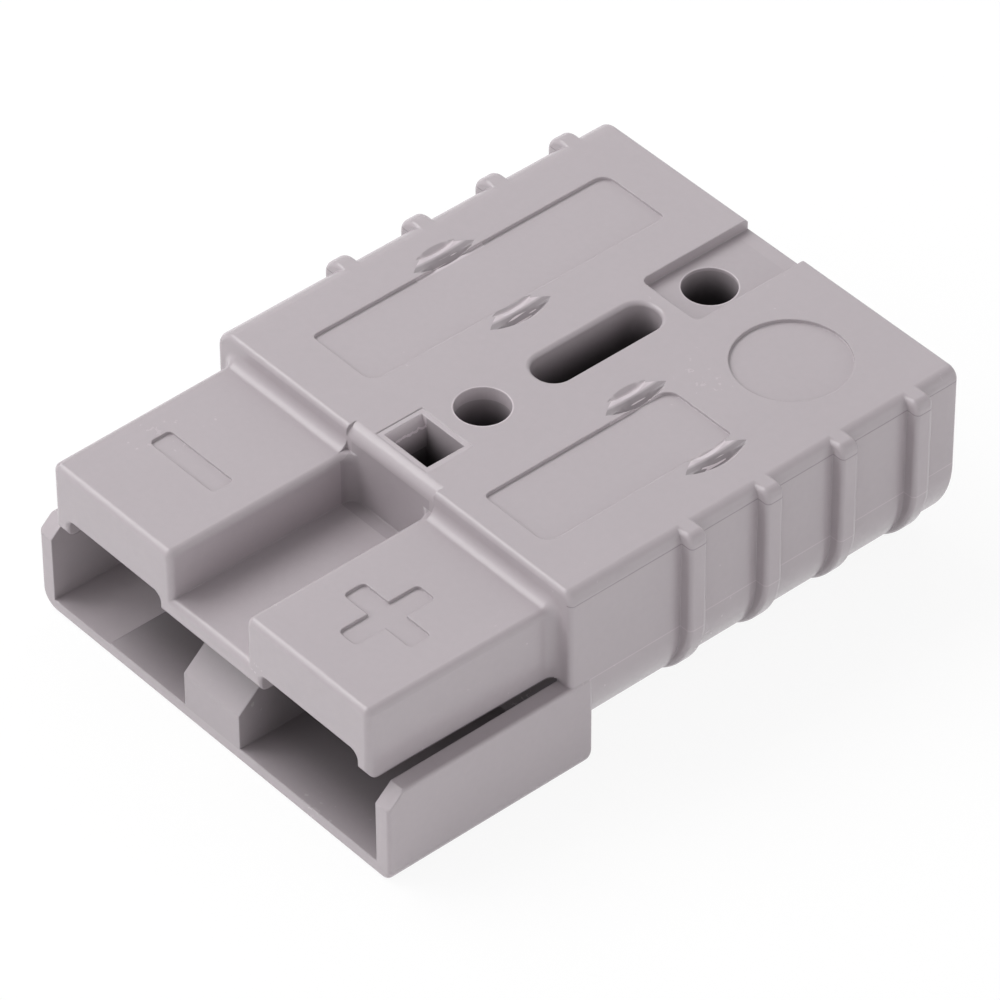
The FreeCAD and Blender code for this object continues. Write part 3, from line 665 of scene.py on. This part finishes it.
def add_floor(settings):
    """Pale floor that shows white to the camera and keeps a soft shadow."""
    half = settings.floor_size / 2
    mesh = bpy.data.meshes.new("studio_floor")
    level = CAD_BOX[0][2] - 0.01 * MM
    corners = [(-half, -half, level), (half, -half, level), (half, half, level), (-half, half, level)]
    mesh.from_pydata(corners, [], [(0, 1, 2, 3)])
    floor = bpy.data.objects.new("studio_floor", mesh)
    bpy.context.scene.collection.objects.link(floor)
    material, tree, shader = new_material("Studio floor")
    shader.inputs["Roughness"].default_value = 0.9
    shader.inputs["Specular IOR Level"].default_value = 0.0
    place = tree.nodes.new("ShaderNodeTexCoord")
    paper = noise(tree, place.outputs["Object"], 14.0, 3.0)
    tone = tree.nodes.new("ShaderNodeMix")
    tone.data_type = "RGBA"
    tone.inputs["A"].default_value = (0.92, 0.92, 0.92, 1.0)
    tone.inputs["B"].default_value = (0.93, 0.93, 0.93, 1.0)
    link(tree, paper, tone.inputs["Factor"])
    link(tree, tone.outputs["Result"], shader.inputs["Base Color"])
    glow = tree.nodes.new("ShaderNodeEmission")
    glow.inputs["Color"].default_value = (1.0, 1.0, 1.0, 1.0)
    glow.inputs["Strength"].default_value = 1.02
    rays = tree.nodes.new("ShaderNodeLightPath")
    seen = math_node(tree, "MINIMUM", math_node(tree, "ADD", rays.outputs["Is Camera Ray"],
                                                rays.outputs["Is Glossy Ray"]), 1.0)
    share = math_node(tree, "MULTIPLY", seen, 0.88)
    blend = tree.nodes.new("ShaderNodeMixShader")
    link(tree, share, blend.inputs["Fac"])
    link(tree, shader.outputs["BSDF"], blend.inputs[1])
    link(tree, glow.outputs["Emission"], blend.inputs[2])
    output = [node for node in tree.nodes if node.type == "OUTPUT_MATERIAL"][0]
    link(tree, blend.outputs["Shader"], output.inputs["Surface"])
    mesh.materials.append(material)


def add_world(settings):
    """Surround that brightens towards the horizon, white where it is seen."""
    world = bpy.data.worlds.new("Studio surround")
    bpy.context.scene.world = world
    world.use_nodes = True
    tree = world.node_tree
    tree.nodes.clear()
    place = tree.nodes.new("ShaderNodeTexCoord")
    split = tree.nodes.new("ShaderNodeSeparateXYZ")
    link(tree, place.outputs["Generated"], split.inputs["Vector"])
    low = math_node(tree, "SUBTRACT", 1.0, math_node(tree, "ABSOLUTE", split.outputs["Z"]))
    rise = math_node(tree, "MULTIPLY_ADD", math_node(tree, "POWER", low, 2.0), settings.horizon,
                     settings.overhead)
    dim = tree.nodes.new("ShaderNodeBackground")
    dim.inputs["Color"].default_value = (1.0, 1.0, 1.0, 1.0)
    link(tree, rise, dim.inputs["Strength"])
    white = tree.nodes.new("ShaderNodeBackground")
    white.inputs["Color"].default_value = (1.0, 1.0, 1.0, 1.0)
    white.inputs["Strength"].default_value = 1.0
    rays = tree.nodes.new("ShaderNodeLightPath")
    blend = tree.nodes.new("ShaderNodeMixShader")
    output = tree.nodes.new("ShaderNodeOutputWorld")
    link(tree, rays.outputs["Is Camera Ray"], blend.inputs["Fac"])
    link(tree, dim.outputs["Background"], blend.inputs[1])
    link(tree, white.outputs["Background"], blend.inputs[2])
    link(tree, blend.outputs["Shader"], output.inputs["Surface"])


class CONNECTOR_OT_stage(bpy.types.Operator):
    """Set the camera, floor and lamps"""
    bl_idname = "connector.stage"
    bl_label = "Stage"

    def execute(self, context):
        settings = context.scene.connector_stage
        context.scene.view_settings.view_transform = "Standard"
        add_camera(settings)
        add_floor(settings)
        add_world(settings)
        area_lamp("Key lamp", (-0.31, -0.11, 0.44), 0.35, settings.key)
        area_lamp("Front lamp", (-0.24, -0.42, 0.36), 0.4, settings.front)
        area_lamp("Side lamp", (0.53, 0.23, 0.14), 0.45, settings.side)
        area_lamp("Sheen lamp", (-0.45, 0.39, 0.53), 0.5, settings.sheen)
        return {"FINISHED"}


class CONNECTOR_PT_panel(bpy.types.Panel):
    """Buttons and settings of the connector"""
    bl_idname = "CONNECTOR_PT_panel"
    bl_label = "Power connector"
    bl_space_type = "VIEW_3D"
    bl_region_type = "UI"
    bl_category = "Connector"

    def draw(self, context):
        scene = context.scene
        for settings in (scene.connector_housing, scene.connector_metal, scene.connector_stage):
            for label in settings.bl_rna.properties.keys():
                if label not in ("rna_type", "name"):
                    self.layout.prop(settings, label)
        for operator in OPERATORS:
            self.layout.operator(operator.bl_idname)


OPERATORS = (CONNECTOR_OT_housing, CONNECTOR_OT_contacts, CONNECTOR_OT_springs, CONNECTOR_OT_stage)
CLASSES = (HousingFinish, MetalFinish, StageSettings, *OPERATORS, CONNECTOR_PT_panel)


def register():
    for one in CLASSES:
        bpy.utils.register_class(one)
    bpy.types.Scene.connector_housing = bpy.props.PointerProperty(type=HousingFinish)
    bpy.types.Scene.connector_metal = bpy.props.PointerProperty(type=MetalFinish)
    bpy.types.Scene.connector_stage = bpy.props.PointerProperty(type=StageSettings)


def unregister():
    del bpy.types.Scene.connector_stage
    del bpy.types.Scene.connector_metal
    del bpy.types.Scene.connector_housing
    for one in reversed(CLASSES):
        bpy.utils.unregister_class(one)


def main():
    register()
    bpy.ops.connector.housing()
    bpy.ops.connector.contacts()
    bpy.ops.connector.springs()
    bpy.ops.connector.stage()


if __name__ == "__main__":
    main()
